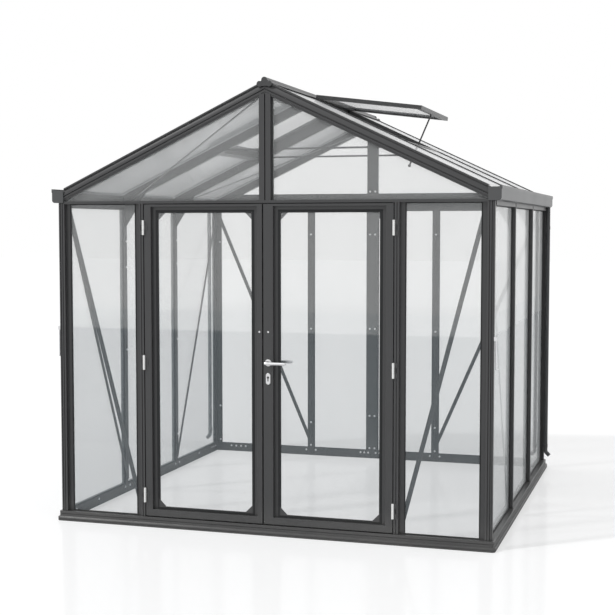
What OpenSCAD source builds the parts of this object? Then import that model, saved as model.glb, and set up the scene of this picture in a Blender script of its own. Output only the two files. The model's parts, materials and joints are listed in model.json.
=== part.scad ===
// Walk-in gable greenhouse: anthracite aluminium frame, clear wall panes, twin-wall roof sheets,
// double hinged doors in the front gable wall and one vent in each roof slope.
// X runs to the right along the front wall, Y runs to the rear and Z is up.
// The origin is on the ground, under the middle of the front wall.

/* [Building] */
// Width over the side walls
body_w = 2610; // [2200:10:3200]
// Depth over the front and rear walls
body_d = 2562; // [2001:3:3600]
// Height of the walls up to the gutters
eave_h = 1916; // [1800:1:2200]
// Pitch of the roof in degrees
roof_pitch = 25.2; // [20:0.1:32]

/* [Sill] */
// Height of the base frame
sill_h = 58; // [45:1:75]
// Height of its lower step
sill_step_h = 24; // [15:1:30]
// How far the lower step stands out of the walls
sill_out = 22; // [14:1:30]
// How far the upper step stands out of the walls
sill_step_out = 11; // [6:1:13]

/* [Wall frame] */
// Thickness of the wall members
wall_t = 36; // [32:1:50]
// Width of the proud face of a corner post
post_face = 40; // [36:1:60]
// Width of the glazing flange beside a post or jamb
flange = 29; // [20:1:34]
// How far the glazing flanges lie behind the proud faces
flange_set = 22; // [15:1:23]
// Width of the proud face of a glazing bar
bar_face = 28; // [20:1:40]
// Width of the glazing flange beside a glazing bar
bar_flange = 9; // [6:1:14]
// Width of the proud face of the gable mullions
mullion_face = 68; // [40:1:80]
// Height of the front head rail
head_h = 16; // [12:1:30]
// How far its top stands above the posts
head_up = 9; // [2:1:10]
// Height of the header across the rear wall
rear_head_h = 128; // [60:1:160]
// Height of the head rails of the side walls
side_head_h = 24; // [18:1:40]
// Distance of the rear glazing bars from the middle
rear_bar_x = 489; // [380:1:560]
// Thickness of the wall panes
pane_t = 4; // [3:0.5:6]

/* [Roof] */
// Height of a rafter, measured upright
rafter_h = 76; // [50:1:90]
// Width of a rafter between the gables
rafter_w = 36; // [28:1:50]
// Thickness of a gable rafter from front to back
gable_rafter_w = 44; // [38:1:60]
// Half width of the ridge beam
ridge_half = 30; // [20:1:40]
// Thickness of a roof sheet, measured upright
sheet_t = 11; // [8:1:16]
// How far the sheets lie below the tops of the rafters
sheet_set = 7; // [5:1:20]
// Thickness of the ridge cap
cap_t = 6; // [4:1:8]

/* [Gutter] */
// How far the gutters stand out of the walls
gutter_out = 40; // [30:1:60]
// Height of a gutter
gutter_h = 82; // [66:1:98]
// Thickness of the gutter's walls
gutter_t = 5; // [4:1:8]
// Diameter of a downpipe
pipe_d = 28; // [22:1:36]

/* [Roof vents] */
// Distance of the crossbar below a vent from the middle of the roof
vent_x = 648; // [540:1:800]
// Distance of the vent's hinge line from the middle of the roof
vent_hinge_x = 50; // [48:1:70]
// Thickness of a vent's frame
vent_t = 24; // [18:1:32]
// Width of the bars of a vent's frame
vent_bar = 34; // [24:1:50]
// Angle of the open vent in degrees
vent_open = 18; // [8:0.5:30]
// Depth of the ties across the roof below the ridge
collar_drop = 333; // [250:1:400]

/* [Doors] */
// Distance of each hinge line from the middle
hinge_x = 751; // [600:1:850]
// Place of the gap where the leaves meet
meet_x = -15; // [-25:1:0]
// Gap between the two leaves
meet_gap = 7; // [7:0.5:10]
// Gap between a leaf and what is round it
leaf_gap = 5; // [5:0.5:8]
// Width of the proud face of a hinge stile
stile_face = 43; // [35:1:60]
// Width of the glazing flange inside a leaf
leaf_flange = 37; // [25:1:45]
// Height of a leaf's top rail
top_rail = 48; // [30:1:80]
// Height of a leaf's bottom rail
bottom_rail = 55; // [40:1:90]
// Height of the lever above the ground
lever_z = 998; // [900:1:1080]
// Distance of the key cylinder below the lever
lock_pitch = 92; // [72:1:100]
// Diameter of the lever's spindle
spindle_d = 16; // [12:1:20]
// Running clearance round the spindle and the hinge pins
run_gap = 0.05; // [0.03:0.01:0.09]
// Length of a hinge
hinge_l = 86; // [70:1:110]

/* [Hidden] */
$fn = 48;

half_w = body_w / 2;
slope = tan(roof_pitch);
// Inner plane of the side walls, where the gutters and the rafters meet
eave_x = half_w - wall_t;
// Upright end of the gable panes beside the gutters
eave_rise = 11;
// Height of the rafters' top line over the middle
ridge_z = eave_h + eave_rise + rafter_h + slope * eave_x;
bay = body_d / 3;
// The panes stand just inside the flanges' outer faces
pane_set = flange_set + 2;
post_in = half_w - post_face - flange;
head_top = eave_h + head_up;
rail_z = head_top - head_h;
// Foot of the rear header
rear_z = eave_h - 16;
brace_w = 26;
brace_t = 4;
collar_z = ridge_z - collar_drop;
// Play of a pane in its rebate, and the seat of a piece that lies on the roof slope
pane_gap = 0.1;
seat = 0.05;
hinge_y = -7;
pin_r = 3;
leaf_z = sill_h + leaf_gap;
leaf_top = rail_z - leaf_gap;
// Top of the rear header, and where it meets the underside of the gable rafters
header_z = rear_z + rear_head_h;
header_x = (ridge_z - rafter_h - header_z) / slope;
lock_x = meet_x + 33.5;
HINGE_Z = [leaf_z + 125, (leaf_z + leaf_top) / 2 - 6.5, leaf_top - 135];
frame_grey = "#3d4043";
clear_pane = [0.80, 0.88, 0.88, 0.35];
roof_sheet = [0.90, 0.93, 0.94, 0.6];

// Height of the rafters' top line at a distance from the middle
function roof_z(x) = ridge_z - slope * abs(x);

module both_sides() {
    children();
    mirror([1, 0, 0]) children();
}

// Puts a front wall member on the right wall, with its outer face outwards
module on_right_wall(y) {
    translate([half_w, y, 0]) rotate([0, 0, 90]) children();
}

// Puts a front wall member on the rear wall
module on_rear_wall() {
    translate([0, body_d, 0]) mirror([0, 1, 0]) children();
}

// Upright member with a proud face from x = 0 to face, and a glazing flange on each side
module upright(z0, z1, face, flange_a, flange_b) {
    translate([0, 0, z0]) cube([face, wall_t, z1 - z0]);
    translate([-flange_a, flange_set, z0])
        cube([flange_a + face + flange_b, wall_t - flange_set, z1 - z0]);
}

// Outline in the XZ plane, made solid from y0 to y1
module slab_y(y0, y1) {
    translate([0, y1, 0]) rotate([90, 0, 0]) linear_extrude(y1 - y0) children();
}

// Strip that follows the roof, from x0 to x1, its top this far below the rafters' top line
module slope_strip(x0, x1, drop, thick, y0, y1) {
    slab_y(y0, y1) polygon([[x0, roof_z(x0) - drop], [x1, roof_z(x1) - drop],
        [x1, roof_z(x1) - drop - thick], [x0, roof_z(x0) - drop - thick]]);
}

// Flat bar on a wall's inner face, from foot to head, given as places along the wall
module wall_brace(x0, z0, x1, z1) {
    run = norm([x1 - x0, z1 - z0]);
    translate([x0, wall_t, z0]) rotate([0, -atan2(z1 - z0, x1 - x0), 0])
        translate([0, 0, -brace_w / 2]) cube([run, brace_t, brace_w]);
}

// Round bar between two points of one upright plane
module rod_xz(from, to, y, r) {
    run = norm([to[0] - from[0], to[1] - from[1]]);
    translate([from[0], y, from[1]]) rotate([0, atan2(to[0] - from[0], to[1] - from[1]), 0])
        cylinder(h = run, r = r);
}

// Stepped section of the base frame: x runs outwards from the wall's outer face
module sill_section() {
    polygon([[-wall_t, 0], [sill_out, 0], [sill_out, sill_step_h], [sill_step_out, sill_step_h],
        [sill_step_out, sill_h], [-wall_t, sill_h]]);
}

// Front sill with rounded outer corners, as two steps
module front_sill_shape() {
    for (step = [[sill_out, 0, sill_step_h], [sill_step_out, sill_step_h, sill_h]]) {
        reach = half_w + step[0];
        translate([0, 0, step[1]]) linear_extrude(step[2] - step[1]) {
            difference() {
                translate([-reach, -step[0]]) square([2 * reach, step[0] + wall_t]);
                both_sides() translate([reach - step[0], -step[0]]) square(step[0]);
            }
            both_sides() intersection() {
                translate([reach - step[0], 0]) circle(r = step[0]);
                translate([reach - step[0], -step[0]]) square(step[0]);
            }
        }
    }
}

module right_sill_shape() {
    translate([half_w, body_d - wall_t, 0]) rotate([90, 0, 0])
        linear_extrude(body_d - 2 * wall_t) sill_section();
}

module front_sill() {
    color(frame_grey) front_sill_shape();
}

module rear_sill() {
    color(frame_grey) on_rear_wall() front_sill_shape();
}

module left_sill() {
    color(frame_grey) mirror([1, 0, 0]) right_sill_shape();
}

module right_sill() {
    color(frame_grey) right_sill_shape();
}

// Right front corner post: a square corner with a glazing flange along each wall
module corner_post() {
    notch = 6;
    translate([0, 0, sill_h]) linear_extrude(eave_h - sill_h) difference() {
        union() {
            translate([half_w - post_face, 0]) square([post_face, wall_t]);
            translate([half_w - wall_t, 0]) square([wall_t, post_face]);
            translate([post_in, flange_set]) square([flange + 1, wall_t - flange_set]);
            translate([half_w - wall_t, post_face - 1])
                square([wall_t - flange_set, flange + 1]);
        }
        translate([half_w - notch, -1]) square([notch + 1, notch + 1]);
    }
}

module corner_posts() {
    color(frame_grey) both_sides() {
        corner_post();
        on_rear_wall() corner_post();
    }
}

module door_jambs() {
    color(frame_grey) both_sides() translate([hinge_x + leaf_gap / 2, 0, 0])
        upright(sill_h, rail_z, bar_face, 0, flange);
}

module side_wall_bars() {
    color(frame_grey) both_sides() for (i = [1, 2])
        on_right_wall(i * bay - bar_face / 2)
            upright(sill_h, eave_h, bar_face, bar_flange, bar_flange);
}

module rear_wall_bars() {
    color(frame_grey) on_rear_wall() both_sides() translate([rear_bar_x - bar_face / 2, 0, 0])
        upright(sill_h, rear_z, bar_face, bar_flange, bar_flange);
}

// The front rail runs from post to post, and above the posts from gutter to gutter
module front_head_rail() {
    proud_in = half_w - post_face;
    color(frame_grey) {
        slab_y(0, flange_set) polygon([[-proud_in, rail_z], [proud_in, rail_z],
            [proud_in, eave_h], [-proud_in, eave_h]]);
        slab_y(flange_set, wall_t) polygon([[-post_in, rail_z], [post_in, rail_z],
            [post_in, eave_h], [-post_in, eave_h]]);
        translate([-eave_x, 0, eave_h]) cube([2 * eave_x, wall_t, head_up]);
    }
}

// Short rails at the head of the side walls, between the posts and the bars
module side_head_rails() {
    edge = bar_face / 2 + bar_flange;
    corner = half_w - post_in;
    color(frame_grey) both_sides() on_right_wall(0)
        for (run = [[corner, bay - edge], [bay + edge, 2 * bay - edge],
            [2 * bay + edge, body_d - corner]])
            translate([run[0], 0, eave_h - side_head_h])
                cube([run[1] - run[0], wall_t, side_head_h]);
}

// Deep header across the rear wall, in two halves that stop at the mullion and the rafters
module rear_header() {
    proud_in = half_w - post_face;
    rear_in = mullion_face / 2 + bar_flange;
    eave_under = roof_z(eave_x) - rafter_h;
    color(frame_grey) on_rear_wall() both_sides() {
        slab_y(0, wall_t) polygon([[rear_in, eave_h], [eave_x, eave_h], [eave_x, eave_under],
            [header_x, header_z], [rear_in, header_z]]);
        slab_y(flange_set, wall_t) polygon([[rear_in, rear_z], [post_in, rear_z],
            [post_in, eave_h], [rear_in, eave_h]]);
        slab_y(0, flange_set) polygon([[rear_in, rear_z], [proud_in, rear_z],
            [proud_in, eave_h], [rear_in, eave_h]]);
    }
}

// Mullion between a rail or sill and the gable rafters, with a joint down its outer face
module gable_mullion(z0) {
    groove = 4;
    half = mullion_face / 2;
    wing = half + bar_flange;
    difference() {
        union() {
            slab_y(0, wall_t) polygon([[-half, z0], [half, z0], [half, roof_z(half) - rafter_h],
                [0, ridge_z - rafter_h], [-half, roof_z(half) - rafter_h]]);
            slab_y(flange_set, wall_t) polygon([[-wing, z0], [wing, z0],
                [wing, roof_z(wing) - rafter_h], [0, ridge_z - rafter_h],
                [-wing, roof_z(wing) - rafter_h]]);
        }
        translate([-groove / 2, -1, z0 - 1]) cube([groove, 6, ridge_z]);
    }
}

module front_mullion() {
    color(frame_grey) gable_mullion(head_top);
}

module rear_mullion() {
    color(frame_grey) on_rear_wall() gable_mullion(sill_h);
}

// Open channel along the right wall, closed by a plate at each end
module right_gutter_shape() {
    end_t = 6;
    inner_h = eave_rise + rafter_h - sheet_set - sheet_t - 7;
    width = wall_t + gutter_out;
    translate([eave_x, -end_t, eave_h]) difference() {
        cube([width, body_d + 2 * end_t, gutter_h]);
        translate([gutter_t, end_t, gutter_t])
            cube([width - 2 * gutter_t, body_d, gutter_h]);
        translate([-1, end_t, inner_h]) cube([gutter_t + 2, body_d, gutter_h]);
    }
}

module left_gutter() {
    color(frame_grey) mirror([1, 0, 0]) right_gutter_shape();
}

module right_gutter() {
    color(frame_grey) right_gutter_shape();
}

module gable_rafter_pair() {
    slab_y(0, gable_rafter_w) polygon([[-eave_x, roof_z(eave_x)], [0, ridge_z],
        [eave_x, roof_z(eave_x)], [eave_x, roof_z(eave_x) - rafter_h], [0, ridge_z - rafter_h],
        [-eave_x, roof_z(eave_x) - rafter_h]]);
}

module front_gable_rafters() {
    color(frame_grey) gable_rafter_pair();
}

module rear_gable_rafters() {
    color(frame_grey) on_rear_wall() gable_rafter_pair();
}

module right_rafter_pair() {
    for (i = [1, 2]) slope_strip(ridge_half, eave_x, 0, rafter_h,
        i * bay - rafter_w / 2, i * bay + rafter_w / 2);
}

module left_rafters() {
    color(frame_grey) mirror([1, 0, 0]) right_rafter_pair();
}

module right_rafters() {
    color(frame_grey) right_rafter_pair();
}

module ridge_beam() {
    foot = ridge_z - rafter_h - 15;
    color(frame_grey) slab_y(gable_rafter_w, body_d - gable_rafter_w)
        polygon([[-ridge_half, foot], [ridge_half, foot], [ridge_half, roof_z(ridge_half)],
            [0, ridge_z], [-ridge_half, roof_z(ridge_half)]]);
}

// Cap over the ridge with a round crown and a lobed plate at each end
module ridge_cap() {
    reach = 46;
    over = 10;
    crown_r = 9;
    color(frame_grey) translate([0, 0, seat]) {
        slab_y(-over, body_d + over) polygon([[-reach, roof_z(reach)], [0, ridge_z],
            [reach, roof_z(reach)], [reach, roof_z(reach) + cap_t], [0, ridge_z + cap_t],
            [-reach, roof_z(reach) + cap_t]]);
        translate([0, body_d + over, ridge_z + crown_r]) rotate([90, 0, 0])
            cylinder(h = body_d + 2 * over, r = crown_r);
    }
}

// Triangular plates that stiffen the joints of the side bars and the rafters
module eave_gussets() {
    leg = 150;
    plate_t = 5;
    color(frame_grey) both_sides() for (i = [1, 2])
        slab_y(i * bay - plate_t / 2, i * bay + plate_t / 2)
            polygon([[eave_x, eave_h - leg], [eave_x, roof_z(eave_x) - rafter_h],
                [eave_x - leg, roof_z(eave_x - leg) - rafter_h]]);
}

// Flat ties across the roof, on the rafters' inner sides
module collar_ties() {
    tie_h = 12;
    reach = (ridge_z - sheet_set - sheet_t - collar_z - tie_h / 2 - 10) / slope;
    color(frame_grey) for (y = [bay - rafter_w / 2 - brace_t, 2 * bay + rafter_w / 2])
        translate([-reach, y, collar_z - tie_h / 2]) cube([2 * reach, brace_t, tie_h]);
}

// Eight diagonal flat bars on the inner faces of the walls
module wall_braces() {
    top = eave_h - 45;
    foot = sill_h + 45;
    post_x = half_w - post_face - flange / 2;
    jamb_x = hinge_x + bar_face + flange / 2;
    corner = half_w - post_x;
    color(frame_grey) both_sides() {
        wall_brace(jamb_x, foot, post_x, top);
        on_rear_wall() wall_brace(rear_bar_x, foot, post_x, top);
        on_right_wall(0) {
            wall_brace(corner, top, bay, foot);
            wall_brace(2 * bay, foot, body_d - corner, top);
        }
    }
}

// Two diagonal flat bars under each roof slope, between a gable and the next rafter
module roof_braces() {
    width = 20;
    thick = 3;
    drop = rafter_h * cos(roof_pitch) + seat;
    near = mullion_face / 2 + bar_flange + 60;
    far = eave_x / cos(roof_pitch) - 30;
    gable_y = gable_rafter_w - 6;
    rafter_y = bay - 14;
    run = norm([far - near, rafter_y - gable_y]);
    turn = atan2(rafter_y - gable_y, far - near);
    color(frame_grey) both_sides() for (at_rear = [0, 1])
        translate([0, at_rear * body_d, ridge_z]) mirror([0, at_rear, 0])
            rotate([0, roof_pitch, 0]) translate([near, gable_y, -drop - thick])
                rotate([0, 0, turn]) translate([0, -width / 2, 0]) cube([run, width, thick]);
}

// One pipe per gutter, clipped to the rear corner post, with a shoe that kicks outwards
module downpipes() {
    r = pipe_d / 2;
    x = half_w + 2 + r;
    y = body_d - 62;
    low = 138;
    bend = 30;
    shoe = 26;
    color(frame_grey) both_sides() {
        translate([x, y, low]) cylinder(h = eave_h - low, r = r);
        translate([x + bend, y, low]) rotate([90, 0, 0]) rotate([0, 0, 180])
            rotate_extrude(angle = 45) translate([bend, 0]) circle(r = r);
        translate([x + bend * (1 - cos(45)), y, low - bend * sin(45)]) rotate([0, 135, 0])
            cylinder(h = shoe, r = r);
        for (z = [low + 20, eave_h - 160]) {
            translate([x, y, z]) cylinder(h = 24, r = r + 1.5);
            translate([half_w, y - 10, z]) cube([r, 20, 24]);
        }
    }
}

module wall_pane(x0, x1, z0, z1) {
    translate([x0 + pane_gap, pane_set, z0 + pane_gap])
        cube([x1 - x0 - 2 * pane_gap, pane_t, z1 - z0 - 2 * pane_gap]);
}

module front_side_panes() {
    jamb_out = hinge_x + leaf_gap / 2 + bar_face + flange;
    color(clear_pane) both_sides() wall_pane(jamb_out, post_in, sill_h, rail_z);
}

// Panes of the front gable, between the rail, the mullion and the rafters
module front_gable_panes() {
    wing = mullion_face / 2 + bar_flange + pane_gap;
    out = eave_x - pane_gap;
    foot = head_top + pane_gap;
    drop = rafter_h + pane_gap;
    color(clear_pane) both_sides() slab_y(pane_set, pane_set + pane_t) polygon([[wing, foot],
        [out, foot], [out, roof_z(out) - drop], [wing, roof_z(wing) - drop]]);
}

module side_wall_panes() {
    edge = bar_face / 2 + bar_flange;
    corner = half_w - post_in;
    on_right_wall(0) {
        wall_pane(corner, bay - edge, sill_h, eave_h - side_head_h);
        wall_pane(bay + edge, 2 * bay - edge, sill_h, eave_h - side_head_h);
        wall_pane(2 * bay + edge, body_d - corner, sill_h, eave_h - side_head_h);
    }
}

module left_wall_panes() {
    color(clear_pane) mirror([1, 0, 0]) side_wall_panes();
}

module right_wall_panes() {
    color(clear_pane) side_wall_panes();
}

module rear_wall_panes() {
    edge = bar_face / 2 + bar_flange;
    color(clear_pane) on_rear_wall() both_sides() {
        wall_pane(mullion_face / 2 + bar_flange, rear_bar_x - edge, sill_h, rear_z);
        wall_pane(rear_bar_x + edge, post_in, sill_h, rear_z);
    }
}

// Panes of the rear gable, between the header, the mullion and the rafters
module rear_gable_panes() {
    wing = mullion_face / 2 + bar_flange + pane_gap;
    foot = header_z + pane_gap;
    drop = rafter_h + pane_gap;
    color(clear_pane) on_rear_wall() both_sides() slab_y(pane_set, pane_set + pane_t)
        polygon([[wing, foot], [(ridge_z - drop - foot) / slope, foot],
            [wing, roof_z(wing) - drop]]);
}

// Twin-wall sheets of the right slope: the middle one stops at the vent's crossbar
module right_slope_sheets() {
    over = 18;
    half = rafter_w / 2 + pane_gap;
    top = ridge_half + pane_gap;
    cross = vent_x + crossbar_half + pane_gap;
    gable = gable_rafter_w + pane_gap;
    slope_strip(top, eave_x + over, sheet_set, sheet_t, gable, bay - half);
    slope_strip(cross, eave_x + over, sheet_set, sheet_t, bay + half, 2 * bay - half);
    slope_strip(top, eave_x + over, sheet_set, sheet_t, 2 * bay + half, body_d - gable);
}

module left_roof_sheets() {
    color(roof_sheet) mirror([1, 0, 0]) right_slope_sheets();
}

module right_roof_sheets() {
    color(roof_sheet) right_slope_sheets();
}

crossbar_half = 17;
vent_w = bay + rafter_w / 2;
vent_l = (vent_x - vent_hinge_x) / cos(roof_pitch) + vent_bar / 2;

// Places a vent on the right slope: x runs from its hinge to its free edge, z out of the roof
module on_vent(open) {
    translate([vent_hinge_x, body_d / 2, roof_z(vent_hinge_x) + seat])
        rotate([0, roof_pitch - open, 0]) children();
}

module vent_frame_shape() {
    difference() {
        translate([0, -vent_w / 2, 0]) cube([vent_l, vent_w, vent_t]);
        translate([vent_bar, vent_bar - vent_w / 2, -1])
            cube([vent_l - 2 * vent_bar, vent_w - 2 * vent_bar, vent_t + 2]);
    }
}

module vent_sheet_shape() {
    inset = vent_bar + pane_gap;
    translate([inset, inset - vent_w / 2, vent_t - 14])
        cube([vent_l - 2 * inset, vent_w - 2 * inset, 10]);
}

module left_vent_frame() {
    color(frame_grey) mirror([1, 0, 0]) on_vent(0) vent_frame_shape();
}

module left_vent_sheet() {
    color(roof_sheet) mirror([1, 0, 0]) on_vent(0) vent_sheet_shape();
}

module right_vent_frame() {
    color(frame_grey) on_vent(vent_open) vent_frame_shape();
}

module right_vent_sheet() {
    color(roof_sheet) on_vent(vent_open) vent_sheet_shape();
}

module vent_crossbars() {
    depth = 44;
    color(frame_grey) both_sides() slope_strip(vent_x - crossbar_half, vent_x + crossbar_half,
        0, depth, bay + rafter_w / 2, 2 * bay - rafter_w / 2);
}

// Stay of the open vent: a rod from its free edge past a bracket on the crossbar to a knob
module vent_stays() {
    lean = roof_pitch - vent_open;
    grip = vent_l - vent_bar * 0.8;
    top = [vent_hinge_x + grip * cos(lean), roof_z(vent_hinge_x) - grip * sin(lean)];
    by = [vent_x - crossbar_half - 24, roof_z(vent_x - crossbar_half) - 12];
    run = norm(by - top);
    foot = by + (by - top) * 130 / run;
    color(frame_grey) difference() {
        union() {
            rod_xz(foot, top, body_d / 2, 5);
            translate([foot[0], body_d / 2, foot[1]]) sphere(r = 10);
            translate([by[0] - 7, body_d / 2 - 9, by[1] - 8])
                cube([vent_x - crossbar_half - by[0] + 7, 18, 16]);
        }
        on_vent(vent_open) vent_frame_shape();
    }
}

// Hooks on the front posts that hold the open doors
module door_holders() {
    top = 1178;
    foot = 1000;
    reach = 11;
    y = 20;
    color("silver") both_sides() {
        translate([half_w, y - 9, top - 22]) cube([reach + 5, 18, 22]);
        translate([half_w + reach, y, foot]) cylinder(h = top - foot - 10, r = 4);
        translate([half_w + reach, y, foot]) rotate([0, 90, 0]) cylinder(h = 14, r = 4);
        translate([half_w + reach, y, foot]) sphere(r = 4);
    }
}

// Jamb halves of the hinges: an upper and a lower knuckle, the pin and the plates
module hinge_pins() {
    third = hinge_l / 3;
    plate = 22;
    color("white") both_sides() for (z = HINGE_Z) translate([hinge_x, hinge_y, z - hinge_l / 2]) {
        cylinder(h = hinge_l, r = pin_r);
        for (at = [0, 2]) translate([0, 0, at * third]) {
            cylinder(h = third, r = -hinge_y);
            translate([leaf_gap / 2 + 0.5, -hinge_y - 3, 0]) cube([plate, 3, third]);
        }
    }
}

// Leaf halves of the hinges: the middle knuckle and its plate
module leaf_hinges() {
    play = 0.4;
    third = hinge_l / 3 - 2 * play;
    plate = 22;
    for (z = HINGE_Z) translate([hinge_x, hinge_y, z - third / 2]) difference() {
        union() {
            cylinder(h = third, r = -hinge_y);
            translate([-leaf_gap / 2 - 0.5 - plate, -hinge_y - 3, 0]) cube([plate, 3, third]);
        }
        translate([0, 0, -1]) cylinder(h = third + 2, r = pin_r + run_gap);
    }
}

// Ring of a leaf between two places on X: a proud face, then a recessed glazing flange
module leaf_ring(x0, x1, face0, face1) {
    glass0 = x0 + face0 + leaf_flange;
    glass1 = x1 - face1 - leaf_flange;
    rail_face = 14;
    head_face = 14;
    plate = 66;
    low = leaf_z + bottom_rail;
    high = leaf_top - top_rail;
    difference() {
        translate([x0, 0, leaf_z]) cube([x1 - x0, wall_t, leaf_top - leaf_z]);
        translate([x0 + face0, -1, low - rail_face])
            cube([x1 - x0 - face0 - face1, flange_set + 1,
                leaf_top - head_face - low + rail_face]);
        translate([glass0, -1, low]) cube([glass1 - glass0, wall_t + 2, high - low]);
    }
    for (x = [glass0, glass1], z = [low, high])
        translate([x, 0, z]) mirror([x == glass0 ? 0 : 1, 0, 0]) mirror([0, 0, z == low ? 0 : 1])
            slab_y(flange_set - 2, pane_set) polygon([[0, 0], [plate, 0], [0, plate]]);
}

module leaf_pane(x0, x1, face0, face1) {
    wall_pane(x0 + face0 + leaf_flange, x1 - face1 - leaf_flange, leaf_z + bottom_rail,
        leaf_top - top_rail);
}

// Edges of the leaves and widths of their meeting stiles' faces
leaf_out = hinge_x - leaf_gap / 2;
left_meet = meet_x - meet_gap / 2;
right_meet = meet_x + meet_gap / 2;
left_meet_face = 31;
right_meet_face = 59;

module left_door_frame() {
    color(frame_grey) leaf_ring(-leaf_out, left_meet, stile_face, left_meet_face);
}

module left_door_pane() {
    color(clear_pane) leaf_pane(-leaf_out, left_meet, stile_face, left_meet_face);
}

module left_door_hinges() {
    color("white") mirror([1, 0, 0]) leaf_hinges();
}

module right_door_frame() {
    color(frame_grey) difference() {
        leaf_ring(right_meet, leaf_out, right_meet_face, stile_face);
        translate([lock_x, -1, lever_z]) rotate([-90, 0, 0])
            cylinder(h = wall_t + 2, r = spindle_d / 2 + run_gap);
    }
}

module right_door_pane() {
    color(clear_pane) leaf_pane(right_meet, leaf_out, right_meet_face, stile_face);
}

module right_door_hinges() {
    color("white") leaf_hinges();
}

// Roses round the spindle and key plates below them, on both faces of the leaf
module right_door_lock() {
    rose_r = 20;
    rose_t = 6;
    plate_r = 14;
    plate_h = 66;
    color("silver") for (y = [-rose_t, wall_t]) translate([lock_x, y, 0]) rotate([-90, 0, 0]) {
        translate([0, -lever_z, 0]) difference() {
            cylinder(h = rose_t, r = rose_r);
            translate([0, 0, -1]) cylinder(h = rose_t + 2, r = spindle_d / 2 + run_gap);
        }
        translate([0, lock_pitch - lever_z, 0]) {
            for (side = [-1, 1]) translate([0, side * (plate_h / 2 - plate_r), 0])
                cylinder(h = rose_t, r = plate_r);
            translate([-plate_r, plate_r - plate_h / 2, 0])
                cube([2 * plate_r, plate_h - 2 * plate_r, rose_t]);
        }
    }
}

// Spindle through the leaf with a lever on each face, pointing to the hinges
module door_lever() {
    neck = 40;
    arm_t = 12;
    arm_h = 18;
    arm_l = 112;
    color("silver") translate([lock_x, -neck - arm_t, lever_z]) {
        rotate([-90, 0, 0]) cylinder(h = wall_t + 2 * (neck + arm_t), r = spindle_d / 2);
        for (y = [0, wall_t + 2 * neck + arm_t]) {
            translate([0, y, -arm_h / 2]) cube([arm_l, arm_t, arm_h]);
            translate([0, y, 0]) rotate([-90, 0, 0]) cylinder(h = arm_t, r = arm_h / 2);
            translate([arm_l, y, 0]) rotate([-90, 0, 0]) cylinder(h = arm_t, r = arm_h / 2);
        }
    }
}

front_sill();
rear_sill();
left_sill();
right_sill();
corner_posts();
door_jambs();
side_wall_bars();
rear_wall_bars();
front_head_rail();
side_head_rails();
rear_header();
front_mullion();
rear_mullion();
left_gutter();
right_gutter();
front_gable_rafters();
rear_gable_rafters();
left_rafters();
right_rafters();
ridge_beam();
ridge_cap();
eave_gussets();
collar_ties();
wall_braces();
roof_braces();
downpipes();
front_side_panes();
front_gable_panes();
left_wall_panes();
right_wall_panes();
rear_wall_panes();
rear_gable_panes();
left_roof_sheets();
right_roof_sheets();
left_vent_frame();
left_vent_sheet();
right_vent_frame();
right_vent_sheet();
vent_crossbars();
vent_stays();
door_holders();
hinge_pins();
left_door_frame();
left_door_pane();
left_door_hinges();
right_door_frame();
right_door_pane();
right_door_hinges();
right_door_lock();
door_lever();
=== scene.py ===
"""Walk-in gable greenhouse in anthracite aluminium, built round the CAD frame."""
import json
import logging
import math
from dataclasses import dataclass
from enum import Enum
from typing import Any, Callable, Iterable, Optional, Sequence, Union

import bmesh
import bpy
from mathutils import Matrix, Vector


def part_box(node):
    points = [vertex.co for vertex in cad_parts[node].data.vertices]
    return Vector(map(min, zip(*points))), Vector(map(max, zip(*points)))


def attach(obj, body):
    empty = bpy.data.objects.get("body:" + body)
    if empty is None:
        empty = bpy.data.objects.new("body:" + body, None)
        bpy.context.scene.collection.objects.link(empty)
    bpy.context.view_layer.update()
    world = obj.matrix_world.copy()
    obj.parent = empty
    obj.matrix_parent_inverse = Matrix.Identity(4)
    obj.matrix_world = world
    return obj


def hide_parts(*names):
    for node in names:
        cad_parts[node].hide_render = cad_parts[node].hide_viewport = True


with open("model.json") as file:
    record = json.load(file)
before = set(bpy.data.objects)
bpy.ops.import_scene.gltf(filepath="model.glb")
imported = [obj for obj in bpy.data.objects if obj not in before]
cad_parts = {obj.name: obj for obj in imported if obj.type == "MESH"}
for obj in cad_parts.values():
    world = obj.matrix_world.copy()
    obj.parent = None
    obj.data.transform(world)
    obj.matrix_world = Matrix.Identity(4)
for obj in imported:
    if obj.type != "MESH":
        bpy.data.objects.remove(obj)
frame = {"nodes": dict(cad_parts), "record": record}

LOG = logging.getLogger("greenhouse")
MM = 0.001
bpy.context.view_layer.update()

Point = tuple[float, float]
Triple = tuple[float, float, float]
Number = Union[float, "Val"]
Colour = Union[Triple, "Val"]
Place = Callable[[float, float, float], Triple]


class Body(Enum):
    """Bodies of the CAD model that a piece can ride on."""
    FRAME = "frame"
    LEFT_DOOR = "left_door"
    RIGHT_DOOR = "right_door"
    LEVER = "door_lever"


class Slot(Enum):
    """Material slots of the record."""
    FRAME = "frame_grey"
    GUTTER = "gutter_grey"
    PIPE = "pipe_grey"
    PANE = "clear_pane"
    SHEET = "roof_sheet"
    STEEL = "satin_steel"
    HINGE = "hinge_white"


# ---------------------------------------------------------------- shader maths

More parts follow.
